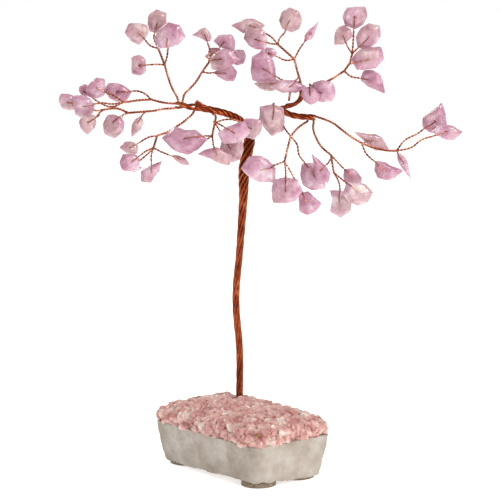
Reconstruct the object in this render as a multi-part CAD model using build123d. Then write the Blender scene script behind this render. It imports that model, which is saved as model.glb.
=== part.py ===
"""Gemstone tree ornament: a twisted copper-wire tree with drilled rose-quartz chips on wire loops.

The tree stands in a white cast block whose top is covered with pink crystal granules.
Millimetres, +Z up, the foot pads stand on z = 0, and the front of the tree faces -Y.
"""
from build123d import *
import math
import os

os.makedirs("parts", exist_ok=True)

# Block, pads and crystal bed
BLOCK_LENGTH = 55.0
BLOCK_WIDTH = 33.0
BLOCK_HEIGHT = 13.5
BLOCK_CORNER = 4.5
BLOCK_DRAW = 2.2
BLOCK_TURN = 129.4
BLOCK_CENTRE = (-6.3, 0.0)
PAD_DIA = 11.5
PAD_THICK = 1.7
PAD_EDGE = 0.3
BED_THICK = 1.2
BED_INSET = 0.5
GRANULE_PITCH = 3.3
GRANULE_LOW = 1.5
GRANULE_HIGH = 3.0
GRANULE_GAP = 0.12
GLUE_BEAD_DIA = 1.6
GLUE_BEADS = ((-1.0, -1.0), (0.85, -0.1))
GRANULE_LEAN = 0.6
GRANULE_BELLY_AT = 0.45
GRANULE_BELLY = 0.92
GRANULE_TOP_LEAST = 0.3
GRANULE_TOP_SPREAD = 0.35

# Trunk socket
TRUNK_FOOT = (-6.9, 15.5)
SOCKET_DIA = 4.0
SOCKET_DEPTH = 9.0
GLUE_GAP = 0.04
GLUE_COLLAR = 0.6
ROOT_LIFT = 0.5

# Copper wires
STRANDS = 7
STRAND_DIA = 0.54
STRAND_GAP = 0.06
STRAND_PITCH = 32.0
CROTCH_DIA = 3.8
LIMB_WIRE_DIA = 0.7
LIMB_PITCH = 11.0
LEFT_PAIR_ENDS = (0.72, 1.0, 0.74, 1.0, 1.0)
RIGHT_PAIR_ENDS = (1.0, 0.96, 1.0, 0.96)
RISER_PAIR_ENDS = (1.0, 1.0)
TWIG_DIA = 0.64
KNOT_DIA = 1.8
LOOP_DIA = 0.4
WIRE_GAP = 0.05

# Quartz chips
CHIP_FLATNESS = 0.45
CHIP_FACE = 0.66
CHIP_HOLE_DIA = 1.1
CHIP_YAW = 14.0
CHIP_PITCH = 10.0
CHIP_YAW_STEP = 2.4
CHIP_PITCH_STEP = 1.7
LOOP_NECK = 1.1
LOOP_SHOULDER = 0.78
LOOP_CLEAR = 0.16
LOOP_BEND = 0.3

# Places that follow from the sizes
BLOCK_TOP = PAD_THICK + BLOCK_HEIGHT
BED_TOP = BLOCK_TOP + BED_THICK
SOCKET_FLOOR = BLOCK_TOP - SOCKET_DEPTH
DRAWN_TOP = 15.2
LIFT = Vector(0, 0, BLOCK_TOP - DRAWN_TOP)
STRAND_RING = (STRAND_DIA + STRAND_GAP) / 2 / math.sin(math.pi / STRANDS)
NARROW_ARC = math.radians(0.3)
STRAIGHT = 1e-9
NUDGE = 0.01
SCATTER_STEP = 12.9898
SCATTER_SALT = 78.233
SCATTER_GAIN = 43758.5453


def save(name, solids):
    """Write one node, made of one solid or of a group of separate solids."""
    solids = solids if isinstance(solids, list) else [solids]
    shape = solids[0] if len(solids) == 1 else Compound(children=solids)
    export_step(shape, f"parts/{name}.step")


def jitter(k, salt):
    """A fixed scatter value between 0 and 1 for item k."""
    wave = math.sin(SCATTER_STEP * (k + 1) + SCATTER_SALT * salt) * SCATTER_GAIN
    return wave - math.floor(wave)


# Smooth wires: pairs of tangent arcs through a list of points

def tangents_at(points, start=None, end=None):
    """The direction of the wire at each point of its route."""
    last = len(points) - 1
    found = []
    for i in range(len(points)):
        before = points[max(i - 1, 0)]
        after = points[min(i + 1, last)]
        found.append((after - before).normalized())
    if start is not None:
        found[0] = start.normalized()
    if end is not None:
        found[last] = end.normalized()
    return found


def arc_or_line(first, last, tangent):
    """A tangent arc, or a line where the arc would be all but straight."""
    turn = (last - first).normalized().cross(tangent).length
    return Line(first, last) if turn < NARROW_ARC else TangentArc(first, last, tangent=tangent)


def smooth_path(points, tangents):
    """A wire of two tangent arcs between each point and the next."""
    edges = []
    for p0, p1, t0, t1 in zip(points, points[1:], tangents, tangents[1:]):
        chord = p1 - p0
        both = t0 + t1
        spread = 2 * (1 - t0.dot(t1))
        reach = chord.dot(both)
        if spread < STRAIGHT:
            leg = chord.dot(chord) / (2 * reach)
        else:
            leg = (math.sqrt(reach * reach + spread * chord.dot(chord)) - reach) / spread
        middle = (p0 + p1 + (t0 - t1) * leg) / 2
        middle_tangent = ((p1 - t1 * leg) - (p0 + t0 * leg)).normalized()
        edges.append(arc_or_line(p0, middle, t0))
        edges.append(arc_or_line(middle, p1, middle_tangent))
    return Wire([e.edge() for e in edges])


def tube(path, diameter):
    """A round wire swept along a path."""
    section = Plane(origin=path @ 0, z_dir=path % 0) * Circle(diameter / 2)
    return sweep(section, path=path)


def between(points, at):
    """A point on the smooth curve through the points, at a share of the way along them."""
    place = at * (len(points) - 1)
    i = min(int(place), len(points) - 2)
    f = place - i
    a = points[max(i - 1, 0)]
    b, c = points[i], points[i + 1]
    d = points[min(i + 2, len(points) - 1)]
    bend = (a * 2 - b * 5 + c * 4 - d) * f * f
    twist = (b * 3 - a - c * 3 + d) * f ** 3
    return (b * 2 + (c - a) * f + bend + twist) / 2


def level(values, at):
    """A value read from a list at a share of the way along it."""
    place = at * (len(values) - 1)
    i = min(int(place), len(values) - 2)
    return values[i] + (values[i + 1] - values[i]) * (place - i)


def strand_path(axis, rings, phase, pitch, start=0.0, end=1.0):
    """The path of one strand that winds round an axis at a changing distance from it."""
    length = sum((b - a).length for a, b in zip(axis, axis[1:]))
    quarters = max(2, round(4 * length * (end - start) / pitch))
    nudge = NUDGE / len(axis)

    def place(at):
        along = (between(axis, min(at + nudge, 1)) - between(axis, max(at - nudge, 0))).normalized()
        side = along.cross(Vector(0, 1, 0)) if abs(along.Y) < 0.9 else along.cross(Vector(1, 0, 0))
        side = side.normalized()
        over = side.cross(along)
        angle = phase - math.tau * length * at / pitch
        return between(axis, at) + (side * math.cos(angle) + over * math.sin(angle)) * level(rings, at)

    shares = [start + (end - start) * i / quarters for i in range(quarters + 1)]
    points = [place(at) for at in shares]
    slopes = []
    for at in shares:
        slopes.append((place(min(at + nudge, 1)) - place(max(at - nudge, 0))).normalized())
    return smooth_path(points, slopes)


def tree_point(place):
    """A point of the tree, lifted with the top of the block."""
    return Vector(*place) + LIFT


# Block, pads, crystal bed and granules

def on_block(along, across):
    """A place on the block, measured from its centre along its length and across it."""
    turn = math.radians(BLOCK_TURN)
    x = BLOCK_CENTRE[0] + along * math.cos(turn) + across * math.sin(turn)
    y = BLOCK_CENTRE[1] + along * math.sin(turn) - across * math.cos(turn)
    return x, y


def block_outline(height, inset, corner=BLOCK_CORNER):
    """The block's rounded outline at a height, drawn in by an inset."""
    plane = Plane(origin=(*BLOCK_CENTRE, height), z_dir=(0, 0, 1)).rotated((0, 0, BLOCK_TURN))
    return plane * RectangleRounded(BLOCK_LENGTH - 2 * inset, BLOCK_WIDTH - 2 * inset, corner)


def build_base():
    foot = Pos(*TRUNK_FOOT, 0)
    sides = loft([block_outline(PAD_THICK, BLOCK_DRAW), block_outline(BLOCK_TOP, 0)], ruled=True)
    socket = foot * Pos(0, 0, SOCKET_FLOOR) * extrude(Circle(SOCKET_DIA / 2), SOCKET_DEPTH + BED_THICK)
    save("base_block", sides - socket)
    save("crystal_bed", extrude(block_outline(BLOCK_TOP, BED_INSET), BED_THICK) - socket)
    bundle = 2 * STRAND_RING + STRAND_DIA + 4 * STRAND_GAP
    ring = Circle(SOCKET_DIA / 2 - GLUE_GAP) - Circle(bundle / 2)
    save("root_glue", foot * Pos(0, 0, SOCKET_FLOOR) * extrude(ring, BED_TOP + GLUE_COLLAR - SOCKET_FLOOR))
    pad_along = BLOCK_LENGTH / 2 - BLOCK_DRAW - PAD_EDGE - PAD_DIA / 2
    pad_across = BLOCK_WIDTH / 2 - BLOCK_DRAW - PAD_EDGE - PAD_DIA / 2
    pad_sides = {"front": (-1, -1), "right": (-1, 1), "left": (1, -1), "back": (1, 1)}
    for side, (a, b) in pad_sides.items():
        pad = Pos(*on_block(a * pad_along, b * pad_across), 0) * extrude(Circle(PAD_DIA / 2), PAD_THICK)
        save(f"foot_pad_{side}", pad)


def granule(centre, k):
    """One crystal granule: a six-sided lump that leans to a smaller top."""
    room = (GRANULE_PITCH - GRANULE_GAP) / 2
    height = GRANULE_LOW + (GRANULE_HIGH - GRANULE_LOW) * jitter(k, 1)
    lean = Vector(jitter(k, 3) - 0.5, jitter(k, 4) - 0.5, 0) * room * GRANULE_LEAN
    top_share = GRANULE_TOP_LEAST + GRANULE_TOP_SPREAD * jitter(k, 5)
    rings = [(Vector(0, 0, 0), 1), (Vector(0, 0, height * GRANULE_BELLY_AT), GRANULE_BELLY),
             (lean + Vector(0, 0, height), top_share)]
    outlines = []
    for shift, share in rings:
        outline = Rot(0, 0, 60 * jitter(k, 2)) * RegularPolygon(room * share, 6)
        outlines.append(Plane(origin=centre + shift) * outline)
    return loft(outlines, ruled=True)


def build_granules():
    row_step = GRANULE_PITCH * math.sqrt(3) / 2
    edge = BED_INSET + GRANULE_PITCH / 2
    half_length = BLOCK_LENGTH / 2 - edge
    half_width = BLOCK_WIDTH / 2 - edge
    keep_clear = SOCKET_DIA / 2 + GRANULE_PITCH / 2
    bead_clear = GLUE_BEAD_DIA / 2 + GRANULE_PITCH / 2
    bead_places = [on_block(half_length * a, half_width * b) for a, b in GLUE_BEADS]
    lumps = []
    rows = int(half_width // row_step)
    for row in range(-rows, rows + 1):
        shift = GRANULE_PITCH / 2 if row % 2 else 0
        columns = int((half_length - abs(shift)) // GRANULE_PITCH)
        for column in range(-columns - 1, columns + 1):
            along = column * GRANULE_PITCH + shift
            x, y = on_block(along, row * row_step)
            corner = math.hypot(max(abs(along) - half_length + BLOCK_CORNER, 0),
                                max(abs(row * row_step) - half_width + BLOCK_CORNER, 0))
            near_trunk = math.dist((x, y), TRUNK_FOOT) < keep_clear
            near_bead = min(math.dist((x, y), bead) for bead in bead_places) < bead_clear
            if abs(along) <= half_length and corner <= BLOCK_CORNER and not near_trunk and not near_bead:
                lumps.append(granule(Vector(x, y, BED_TOP), len(lumps)))
    save("crystal_granules", lumps)
    dome = Sphere(GLUE_BEAD_DIA / 2) & Pos(0, 0, GLUE_BEAD_DIA) * Box(*[2 * GLUE_BEAD_DIA] * 3)
    save("glue_beads", [Pos(*bead, BED_TOP) * dome for bead in bead_places])


build_base()
build_granules()

# Trunk: seven strands round a core, from the socket floor to the crotch
TRUNK_AXIS = [(*TRUNK_FOOT, DRAWN_TOP - SOCKET_DEPTH + ROOT_LIFT), (-6.9, 15.4, 21.0),
              (-6.9, 14.0, 38.4), (-8.1, 12.6, 56.0), (-6.8, 11.2, 73.5), (-5.6, 9.8, 90.8),
              (-5.2, 8.9, 101.0), (-3.4, 8.1, 111.6)]
TRUNK_SPREAD = [0, 0, 0, 0, 0, 0.2, 0.62, 0.5]
CROTCH = (-3.1, 8.0, 114.2)


def build_trunk():
    axis = [tree_point(p) for p in TRUNK_AXIS]
    rings = [STRAND_RING + spread for spread in TRUNK_SPREAD]
    for k in range(STRANDS):
        path = strand_path(axis, rings, math.tau * k / STRANDS, STRAND_PITCH)
        save(f"trunk_strand_{k + 1}", tube(path, STRAND_DIA))
    core_dia = 2 * STRAND_RING - STRAND_DIA - 2 * STRAND_GAP
    save("trunk_core", tube(smooth_path(axis, tangents_at(axis)), core_dia))
    save("crotch_wrap", Pos(*tree_point(CROTCH)) * Sphere(CROTCH_DIA / 2))


build_trunk()

# Limbs: bundles of twisted pairs that leave the crotch to the left and to the right
LEFT_AXIS = [(-4.9, 8.0, 115.9), (-6.8, 8.0, 118.2), (-9.6, 8.0, 119.6), (-12.7, 8.0, 120.6),
             (-16.7, 8.0, 121.5), (-21.0, 8.0, 122.2), (-24.6, 8.0, 122.7), (-28.2, 8.0, 123.0)]
RIGHT_AXIS = [(-1.3, 8.3, 116.0), (1.2, 8.6, 118.4), (4.2, 8.6, 120.3), (7.3, 8.4, 120.9),
              (10.3, 8.0, 119.8), (13.3, 8.0, 119.2), (16.6, 8.0, 119.0), (18.4, 8.0, 118.8)]
RISER_AXIS = [(8.9, 9.4, 122.5), (10.6, 9.8, 123.0), (12.6, 10.0, 123.8), (13.8, 10.1, 125.2),
              (14.1, 10.2, 126.6)]


def limb_ring(count):
    """How far the pairs of a bundle lie from its axis, a gap apart."""
    return (LIMB_WIRE_DIA + 4 * WIRE_GAP) / 2 / math.sin(math.pi / count)


def limb(axis, ends):
    """A bundle of pairs that wind round one axis, each as far along it as its end says."""
    points = [tree_point(p) for p in axis]
    count = len(ends)
    rings = [limb_ring(count)] * len(points)
    pairs = []
    for k, end in enumerate(ends):
        path = strand_path(points, rings, math.tau * k / count, LIMB_PITCH, 0.0, end)
        pairs.append(tube(path, LIMB_WIRE_DIA))
    return pairs


save("left_limb", limb(LEFT_AXIS, LEFT_PAIR_ENDS))
save("right_limb", limb(RIGHT_AXIS, RIGHT_PAIR_ENDS))
save("right_riser", limb(RISER_AXIS, RISER_PAIR_ENDS))

# Sprays: each has a root where its stem bends at the limb, knots where it forks, stems from knot to
# knot, and for each chip the route of its twig, the place of its drilled hole, the turn of its
# outline, and how far the outline reaches from the hole in eight directions, anticlockwise from +X
SPRAYS = {
    "upper_left": {
        "knots": {"root": (-27.4, 8.6, 124.6), "low": (-32.0, 13.0, 136.2), "high": (-34.2, 14.0, 141.6)},
        "stems": [["root", (-29.4, 10.0, 128.5), (-30.7, 11.5, 131.8), "low"],
                  ["low", (-33.2, 13.5, 139.2), "high"]],
        "twigs": {
            "b1": (["high", (-36.7, 13.5, 142.5)], (-40.7, 12.0, 146.9), 0,
                   (3.0, 3.3, 2.8, 3.9, 4.1, 3.1, 3.5, 2.4)),
            "b2": (["high", (-35.7, 15.5, 145.3)], (-34.7, 16.5, 150.0), 0,
                   (2.8, 4.1, 4.0, 3.4, 2.5, 3.1, 2.8, 2.4)),
            "b3": (["low", (-31.1, 12.3, 139.2)], (-30.4, 11.0, 145.6), 0,
                   (4.7, 4.7, 4.3, 3.5, 4.3, 4.7, 3.0, 3.2)),
            "b4": (["low", (-35.0, 13.0, 136.3)], (-40.4, 13.0, 136.0), 0,
                   (2.0, 2.8, 3.3, 3.8, 2.7, 3.8, 3.4, 2.9)),
        },
    },
    "inner_left": {
        "knots": {"root": (-26.0, 8.8, 124.0), "low": (-19.4, 13.5, 133.8), "high": (-16.7, 14.0, 137.5)},
        "stems": [["root", (-25.2, 10.9, 126.6), (-23.6, 11.6, 128.2), (-21.4, 12.5, 130.6), "low"],
                  ["low", "high"]],
        "twigs": {
            "c1": (["high", (-16.9, 14.0, 141.5)], (-18.4, 13.0, 146.0), 0,
                   (2.0, 1.7, 2.3, 2.4, 4.0, 1.4, 1.7, 2.4)),
            "c2": (["high", (-15.0, 15.8, 140.2)], (-11.7, 16.5, 143.8), 0,
                   (3.0, 2.8, 1.9, 2.7, 3.5, 2.3, 2.3, 3.9)),
            "c3": (["high", (-17.6, 17.6, 138.2)], (-15.4, 20.5, 140.0), 0,
                   (2.7, 1.9, 1.3, 1.9, 2.0, 2.3, 1.7, 1.8)),
            "c4": (["high"], (-12.4, 11.0, 138.2), 0,
                   (4.8, 3.5, 2.8, 2.8, 3.7, 4.4, 3.0, 3.1)),
            "c5": (["high", (-13.6, 17.2, 137.6)], (-7.7, 17.5, 138.4), 0,
                   (2.7, 3.0, 2.3, 2.1, 2.5, 2.3, 2.3, 2.8)),
            "c6": (["low", (-17.0, 14.0, 133.3)], (-11.7, 15.2, 133.4), 0,
                   (3.6, 2.9, 1.6, 1.7, 3.6, 2.2, 2.5, 3.7)),
        },
    },
    "left_tip": {
        "knots": {"root": (-29.0, 8.5, 123.5), "near": (-36.4, 7.0, 125.0), "far": (-45.4, 4.0, 124.2)},
        "stems": [["root", (-32.4, 7.7, 123.9), "near"], ["near", (-40.7, 5.5, 124.8), "far"]],
        "twigs": {
            "e5": (["near", (-38.4, 7.6, 126.8), (-41.0, 8.2, 127.7)], (-47.7, 8.6, 127.4), 0,
                   (4.0, 2.6, 2.5, 3.5, 3.5, 3.0, 3.0, 3.7)),
            "e3": (["far", (-48.4, 3.7, 126.4)], (-54.4, 4.5, 129.0), 0,
                   (3.0, 3.8, 3.2, 2.6, 3.2, 3.7, 3.4, 3.4)),
            "e4": (["far", (-49.5, 6.0, 122.6), (-54.0, 8.2, 124.0)], (-59.0, 9.4, 127.6), 0,
                   (2.2, 2.7, 2.3, 2.1, 1.7, 1.6, 1.9, 2.4)),
            "e2": (["far", (-49.2, 1.6, 123.9), (-52.4, 1.0, 124.3)], (-58.4, 1.3, 123.4), 0,
                   (3.2, 2.8, 3.1, 4.3, 3.2, 4.0, 4.3, 3.7)),
        },
    },
    "lower_left_tip": {
        "knots": {"root": (-28.8, 7.1, 122.0), "near": (-38.0, 3.0, 121.3), "middle": (-43.6, 1.0, 121.0),
                  "far": (-52.0, -1.2, 122.2)},
        "stems": [["root", (-32.4, 5.5, 121.9), (-35.4, 4.1, 121.4), "near"], ["near", "middle"],
                  ["middle", (-47.6, -0.4, 122.6), "far"]],
        "twigs": {
            "e9": (["near"], (-41.0, 3.5, 117.6), -20,
                   (2.6, 2.5, 2.0, 1.4, 1.3, 2.2, 5.7, 3.0)),
            "e6": (["middle"], (-48.0, -1.5, 117.8), 0,
                   (3.5, 2.9, 2.8, 3.7, 4.2, 5.0, 5.2, 4.0)),
            "e8": (["far", (-53.6, -2.4, 120.2)], (-57.0, -3.2, 118.2), 0,
                   (3.2, 3.7, 2.4, 2.8, 2.9, 3.1, 4.3, 3.3)),
            "e1": (["far", (-54.4, 2.0, 121.6), (-58.0, 4.8, 122.6)], (-64.0, 5.2, 124.5), 0,
                   (3.0, 2.8, 2.6, 3.8, 3.2, 3.2, 3.3, 4.0)),
        },
    },
    "low_left": {
        "knots": {"root": (-22.1, 7.1, 120.9), "high": (-34.0, -2.0, 113.7), "low": (-35.2, -3.0, 109.8)},
        "stems": [["root", (-24.4, 4.2, 118.6), (-27.4, 1.4, 116.6), (-30.7, -0.8, 114.8), "high"],
                  ["high", "low"]],
        "twigs": {
            "e10": (["high", (-36.8, -2.2, 113.2)], (-42.7, -3.0, 109.8), 0,
                    (2.9, 2.3, 2.2, 3.0, 4.0, 2.6, 2.5, 3.2)),
            "e11": (["low", (-37.6, -5.0, 108.9)], (-42.4, -8.0, 105.6), 0,
                    (3.1, 3.2, 2.7, 3.8, 4.0, 4.0, 3.3, 4.1)),
            "e12": (["low", (-37.0, 0.5, 107.6)], (-43.0, 1.6, 102.6), 0,
                    (4.2, 2.5, 1.7, 2.8, 3.6, 1.7, 1.5, 2.1)),
            "f1": (["low", (-35.9, -3.3, 107.4)], (-36.0, -3.4, 102.0), 0,
                   (2.7, 5.3, 2.3, 2.1, 3.6, 5.0, 4.1, 2.2)),
            "f2": (["low", (-32.4, -3.8, 108.4)], (-26.4, -4.5, 106.0), -29,
                   (4.1, 1.9, 1.3, 1.7, 3.4, 1.7, 1.3, 1.9)),
        },
    },
    "front_left": {
        "knots": {"root": (-15.8, 6.6, 120.4), "high": (-15.0, 0.0, 117.8), "low": (-15.8, -3.5, 113.8)},
        "stems": [["root", (-14.8, 3.6, 119.7), "high"], ["high", "low"]],
        "twigs": {
            "f3": (["low"], (-24.4, -7.0, 113.1), 0,
                   (6.0, 3.6, 2.3, 4.8, 6.7, 4.6, 4.2, 4.5)),
            "f3b": (["low", (-19.0, -1.0, 111.6)], (-24.0, -0.6, 109.6), 0,
                    (2.6, 2.5, 2.4, 2.5, 2.5, 2.2, 2.2, 2.2)),
            "g1": (["low"], (-14.0, -9.2, 108.2), 0,
                   (4.0, 1.9, 2.0, 2.6, 5.9, 2.1, 2.5, 4.5)),
            "g2": (["high", (-13.2, -2.0, 115.2)], (-9.4, -4.0, 109.2), 0,
                   (3.5, 4.1, 3.1, 3.9, 3.4, 2.6, 3.6, 3.5)),
            "g3": (["high", (-14.9, -6.2, 118.6)], (-8.7, -9.0, 115.3), 0,
                   (4.7, 4.5, 2.4, 2.4, 4.6, 4.1, 2.9, 3.2)),
            "g4": (["high", (-11.7, 0.4, 118.8), (-7.8, -0.2, 118.6)], (-2.4, -0.6, 116.2), 0,
                   (2.7, 3.2, 2.7, 3.5, 2.9, 3.6, 3.4, 2.7)),
        },
    },
    "centre": {
        "knots": {"root": (4.3, 7.8, 121.8)},
        "stems": [],
        "twigs": {
            "h1": (["root", (4.3, 5.6, 124.2)], (4.0, 3.2, 118.8), 0,
                   (3.6, 4.5, 4.0, 4.8, 3.4, 3.2, 4.7, 4.7)),
        },
    },
    "upper_right": {
        "knots": {"root": (13.9, 10.4, 127.3), "low": (13.7, 11.5, 130.4), "middle": (11.6, 14.0, 138.0),
                  "high": (6.0, 13.5, 143.0)},
        "stems": [["root", "low"], ["low", (12.8, 12.9, 133.4), "middle"],
                  ["middle", (9.4, 14.0, 140.0), "high"]],
        "twigs": {
            "ca": (["high", (3.6, 14.4, 145.6)], (-3.4, 15.5, 149.2), 0,
                   (4.3, 2.4, 2.0, 2.5, 5.4, 3.0, 2.5, 3.2)),
            "cb": (["high"], (-1.4, 11.0, 145.0), 0,
                   (3.4, 3.5, 3.2, 3.8, 3.5, 2.8, 2.9, 4.1)),
            "cc": (["middle", (8.8, 14.2, 137.6)], (3.0, 14.6, 139.9), 0,
                   (3.1, 2.3, 2.0, 2.6, 3.5, 2.4, 1.8, 2.0)),
            "cd": (["low", (8.0, 11.0, 131.0)], (1.3, 10.4, 135.0), 0,
                   (3.3, 3.6, 4.8, 4.8, 3.7, 4.6, 4.0, 4.8)),
            "ce": (["low", (11.4, 13.8, 129.8)], (3.3, 14.4, 129.7), 0,
                   (4.8, 2.1, 2.0, 2.6, 4.6, 2.7, 2.3, 2.6)),
            "cf": (["low", (13.0, 9.0, 132.4)], (9.6, 8.0, 129.2), 0,
                   (5.2, 2.5, 1.8, 2.6, 5.4, 2.5, 1.8, 2.7)),
            "cj": (["high", (6.6, 13.0, 144.9), (8.2, 12.3, 146.8)], (10.3, 11.5, 151.2), 0,
                   (3.4, 3.4, 3.6, 3.4, 3.4, 3.5, 3.6, 3.5)),
            "ci": (["middle", (13.4, 14.6, 141.4)], (17.0, 15.0, 146.6), 55,
                   (4.8, 1.4, 1.1, 1.6, 3.3, 1.8, 1.3, 1.4)),
        },
    },
    "far_upper_right": {
        "knots": {"root": (15.2, 10.1, 126.6), "low": (18.3, 9.6, 129.0), "middle": (28.3, 11.0, 134.2),
                  "side": (30.2, 11.6, 136.8), "high": (31.0, 12.0, 140.0)},
        "stems": [["root", "low"], ["low", (23.3, 10.0, 131.2), "middle"], ["middle", "side"],
                  ["side", "high"]],
        "twigs": {
            "cg": (["low", (17.0, 8.6, 131.8), (15.2, 5.0, 132.2)], (16.6, 2.4, 126.6), 0,
                   (3.0, 2.6, 2.6, 3.1, 2.4, 2.4, 2.7, 2.8)),
            "ch": (["low"], (21.0, 6.0, 127.6), 0,
                   (3.6, 4.0, 3.5, 3.7, 3.6, 3.4, 3.1, 4.0)),
            "d1": (["high", (31.3, 12.6, 144.0)], (31.7, 13.0, 152.2), 0,
                   (3.7, 4.2, 2.8, 3.6, 3.3, 3.5, 3.4, 3.3)),
            "d2": (["high", (29.7, 10.3, 141.8)], (28.0, 9.0, 146.0), 0,
                   (2.6, 2.6, 3.2, 3.1, 2.8, 3.8, 2.4, 1.9)),
            "d3": (["high"], (36.3, 11.0, 145.6), 0,
                   (3.4, 4.5, 3.9, 3.3, 3.6, 4.2, 3.6, 2.8)),
            "d4": (["side"], (36.0, 7.0, 138.4), 0,
                   (4.5, 5.0, 3.3, 3.7, 4.7, 4.3, 2.8, 3.4)),
            "d5": (["middle", (30.6, 10.4, 132.4)], (37.7, 9.5, 131.1), 0,
                   (3.1, 2.8, 3.0, 3.7, 3.4, 2.3, 2.4, 5.2)),
        },
    },
    "far_right": {
        "knots": {"root": (19.3, 8.2, 119.0), "near": (34.0, 5.5, 110.5), "far": (45.6, 4.0, 108.0)},
        "stems": [["root", (24.6, 7.0, 117.0), (27.0, 6.5, 115.2), (30.2, 6.0, 112.8), "near"],
                  ["near", (38.2, 4.8, 109.0), (42.0, 4.4, 108.2), "far"]],
        "twigs": {
            "i5": (["near"], (37.6, 9.2, 110.9), -27,
                   (5.7, 3.2, 2.1, 2.0, 6.0, 1.7, 1.9, 3.0)),
            "i4": (["near", (35.6, 4.2, 107.0)], (42.0, 3.0, 101.6), 0,
                   (5.0, 2.0, 2.3, 3.8, 3.2, 3.3, 2.9, 3.3)),
            "j3": (["far"], (48.0, 7.0, 103.8), -63,
                   (5.3, 1.7, 1.4, 1.7, 3.9, 1.7, 1.2, 1.7)),
            "j1": (["far", (48.6, 6.2, 111.4), (53.0, 7.4, 113.6)], (58.6, 8.0, 117.6), -20,
                   (3.9, 3.5, 5.8, 2.9, 3.5, 3.7, 3.5, 3.5)),
            "j2": (["far", (50.6, 2.6, 109.4), (53.8, 3.2, 111.8)], (62.0, 3.4, 114.4), 0,
                   (5.4, 2.9, 2.3, 3.3, 4.5, 2.5, 2.6, 3.7)),
        },
    },
    "low_right": {
        "knots": {"root": (16.0, 6.8, 118.0), "high": (10.2, -1.0, 113.4), "low": (8.1, -4.5, 105.4)},
        "stems": [["root", (14.8, 4.0, 117.3), (12.4, 1.0, 115.8), "high"],
                  ["high", (9.2, -3.0, 110.0), "low"]],
        "twigs": {
            "g6": (["low"], (0.0, -7.0, 103.4), 0,
                   (4.3, 3.1, 3.6, 4.5, 5.3, 3.9, 3.9, 6.0)),
            "h2": (["low", (8.4, -6.6, 102.6)], (8.3, -8.4, 96.2), 0,
                   (4.8, 4.5, 3.6, 4.4, 3.8, 4.8, 3.6, 4.0)),
            "h3": (["low", (10.4, -3.8, 101.4), (12.2, -3.2, 98.0)], (16.0, -3.0, 91.4), 0,
                   (3.9, 2.4, 3.3, 3.7, 2.7, 3.5, 3.5, 3.3)),
            "h4": (["high", (12.3, -1.5, 110.6), (12.9, -2.0, 107.4)], (17.3, -2.5, 100.5), 0,
                   (3.3, 2.2, 3.5, 4.5, 3.5, 3.8, 4.2, 5.4)),
        },
    },
    "low_outer_right": {
        "knots": {"root": (18.0, 6.7, 117.8), "high": (23.6, 1.0, 107.0), "low": (24.6, 0.0, 101.2)},
        "stems": [["root", (17.8, 5.0, 115.4), (18.7, 3.6, 112.6), (20.5, 2.2, 109.6), "high"],
                  ["high", "low"]],
        "twigs": {
            "h5": (["high", (23.4, -2.6, 106.2)], (20.0, -6.6, 102.9), -62,
                   (4.3, 3.0, 1.8, 1.9, 5.2, 2.0, 2.0, 3.3)),
            "i1": (["high", (25.9, 2.5, 104.4)], (31.0, 4.6, 99.0), 0,
                   (2.6, 2.2, 2.6, 3.4, 2.6, 2.8, 3.2, 3.4)),
            "i2": (["low", (26.8, -0.6, 99.4)], (32.3, -1.2, 94.6), 0,
                   (4.6, 3.4, 3.0, 4.0, 4.0, 3.6, 3.6, 4.0)),
            "i3": (["low", (26.4, 2.4, 97.6)], (27.0, 4.2, 91.0), 0,
                   (3.2, 2.9, 2.9, 4.4, 2.4, 4.4, 4.8, 4.0)),
        },
    },
}

# Chips whose loops stand open, so that they swivel on the wire
LOOSE_CHIPS = ("b4", "e5", "cc", "ci", "d1", "d4", "j1", "j2", "j3")


class Chip:
    """A drilled quartz chip: its hole, the frame it is drawn in, its outline and its thickness."""

    def __init__(self, name, order, hole, turn, reach):
        yaw = 0 if name in LOOSE_CHIPS else math.radians(CHIP_YAW) * math.sin(CHIP_YAW_STEP * order)
        pitch = 0 if name in LOOSE_CHIPS else math.radians(CHIP_PITCH) * math.sin(CHIP_PITCH_STEP * order + 1)
        self.hole = tree_point(hole)
        self.east = Vector(math.cos(yaw), math.sin(yaw), 0)
        back = Vector(-math.sin(yaw), math.cos(yaw), 0)
        self.north = back * math.sin(pitch) + Vector(0, 0, math.cos(pitch))
        self.normal = self.east.cross(self.north)
        self.turn = math.radians(turn)
        self.reach = reach
        self.thick = 2 * CHIP_FLATNESS * sum(reach) / len(reach)

    def corners(self, share, lift):
        """The outline's corners at a share of its reach, lifted from the chip's middle plane."""
        found = []
        for k, far in enumerate(self.reach):
            angle = self.turn + math.tau * k / len(self.reach)
            flat = self.east * math.cos(angle) + self.north * math.sin(angle)
            found.append(self.hole + flat * far * share + self.normal * lift)
        return found

    def reach_towards(self, direction):
        """How far the outline reaches from the hole in a direction in its plane."""
        angle = math.atan2(direction.dot(self.north), direction.dot(self.east)) - self.turn
        step = angle / math.tau * len(self.reach) % len(self.reach)
        k = int(step)
        after = (k + 1) % len(self.reach)
        return self.reach[k] + (self.reach[after] - self.reach[k]) * (step - k)

    def solid(self):
        """The chip as a lump with a flat on each side and a hole drilled through them."""
        half = self.thick / 2
        layers = []
        for share, lift in ((CHIP_FACE, -half), (1, 0), (CHIP_FACE, half)):
            layers.append(make_face(Polyline(*self.corners(share, lift), close=True)))
        drill = Plane(origin=self.hole, z_dir=self.normal) * Cylinder(CHIP_HOLE_DIA / 2, 2 * self.thick)
        return loft(layers, ruled=True) - drill


def set_back(route, start, end):
    """A route with its two ends drawn back along it."""
    points = list(route)
    points[0] = route[0] + (route[1] - route[0]).normalized() * start
    points[-1] = route[-1] + (route[-2] - route[-1]).normalized() * end
    return points


def stem(route, from_root):
    """A twisted pair from the root or a knot to the next knot, plain as a tube."""
    clear = KNOT_DIA / 2 + WIRE_GAP
    points = set_back(route, 0 if from_root else clear, clear)
    wire = tube(smooth_path(points, tangents_at(points)), TWIG_DIA)
    return wire + Pos(*points[0]) * Sphere(TWIG_DIA / 2) if from_root else wire


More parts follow.
